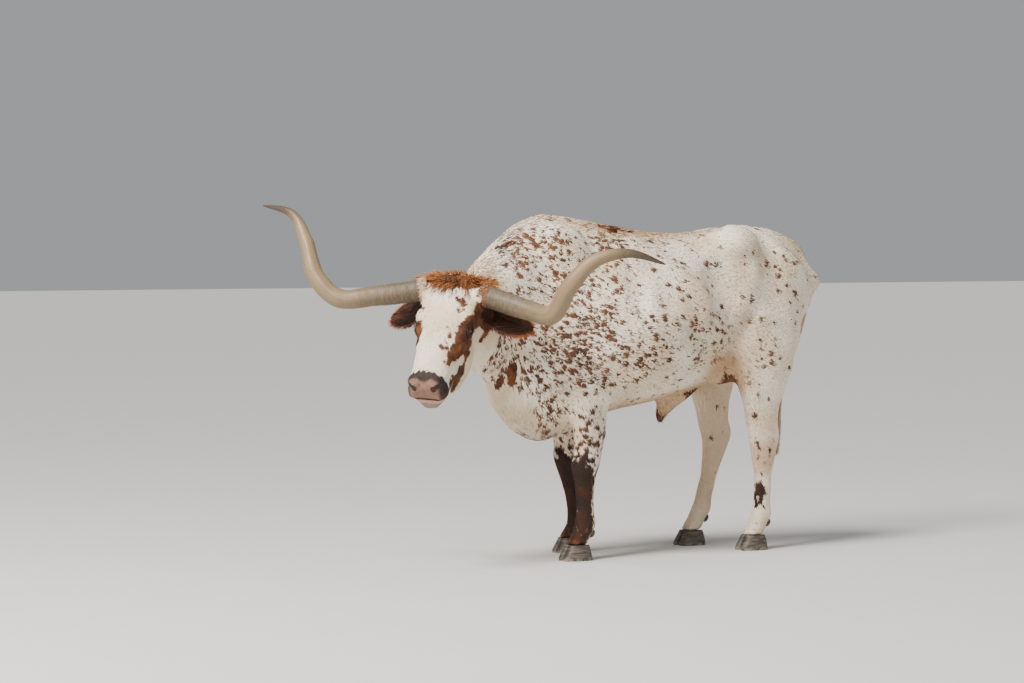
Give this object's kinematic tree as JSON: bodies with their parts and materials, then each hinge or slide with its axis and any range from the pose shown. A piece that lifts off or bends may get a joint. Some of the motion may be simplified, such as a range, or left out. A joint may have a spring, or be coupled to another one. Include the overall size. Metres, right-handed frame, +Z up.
{
  "type": "longhorn steer",
  "caption": "Life-size standing longhorn steer, head turned to its left, with long curved horns, cupped ears, cloven hooves and a hanging tail.",
  "frame": {"origin": "on the ground, under the middle of the animal's bounding box", "axes": "-X is the way the trunk faces, -Y is the animal's left, +Z is up"},
  "size_m": [2.5524, 1.3544, 1.5578],
  "materials": {
    "hide": "short cream coat with red-brown flecks",
    "horn": "horn, ringed at the base, dark at the tip",
    "ear": "dark brown hair with a red-brown rim",
    "eye": "wet dark brown",
    "hoof": "dull dark horn",
    "tail": "cream hair, yellower switch"
  },
  "bodies": {
    "root": {"claw_fore_left_inner": "hoof", "claw_fore_left_outer": "hoof", "claw_fore_right_inner": "hoof", "claw_fore_right_outer": "hoof", "claw_hind_left_inner": "hoof", "claw_hind_left_outer": "hoof", "claw_hind_right_inner": "hoof", "claw_hind_right_outer": "hoof", "dewclaw_fore_left_inner": "hoof", "dewclaw_fore_left_outer": "hoof", "dewclaw_fore_right_inner": "hoof", "dewclaw_fore_right_outer": "hoof", "dewclaw_hind_left_inner": "hoof", "dewclaw_hind_left_outer": "hoof", "dewclaw_hind_right_inner": "hoof", "dewclaw_hind_right_outer": "hoof", "ear_left": "ear", "ear_right": "ear", "eye_left": "eye", "eye_right": "eye", "foreleg_left": "hide", "foreleg_right": "hide", "head": "hide", "hindleg_left": "hide", "hindleg_right": "hide", "horn_left": "horn", "horn_right": "horn", "neck": "hide", "tail": "tail", "torso": "hide"}
  },
  "joints": []
}
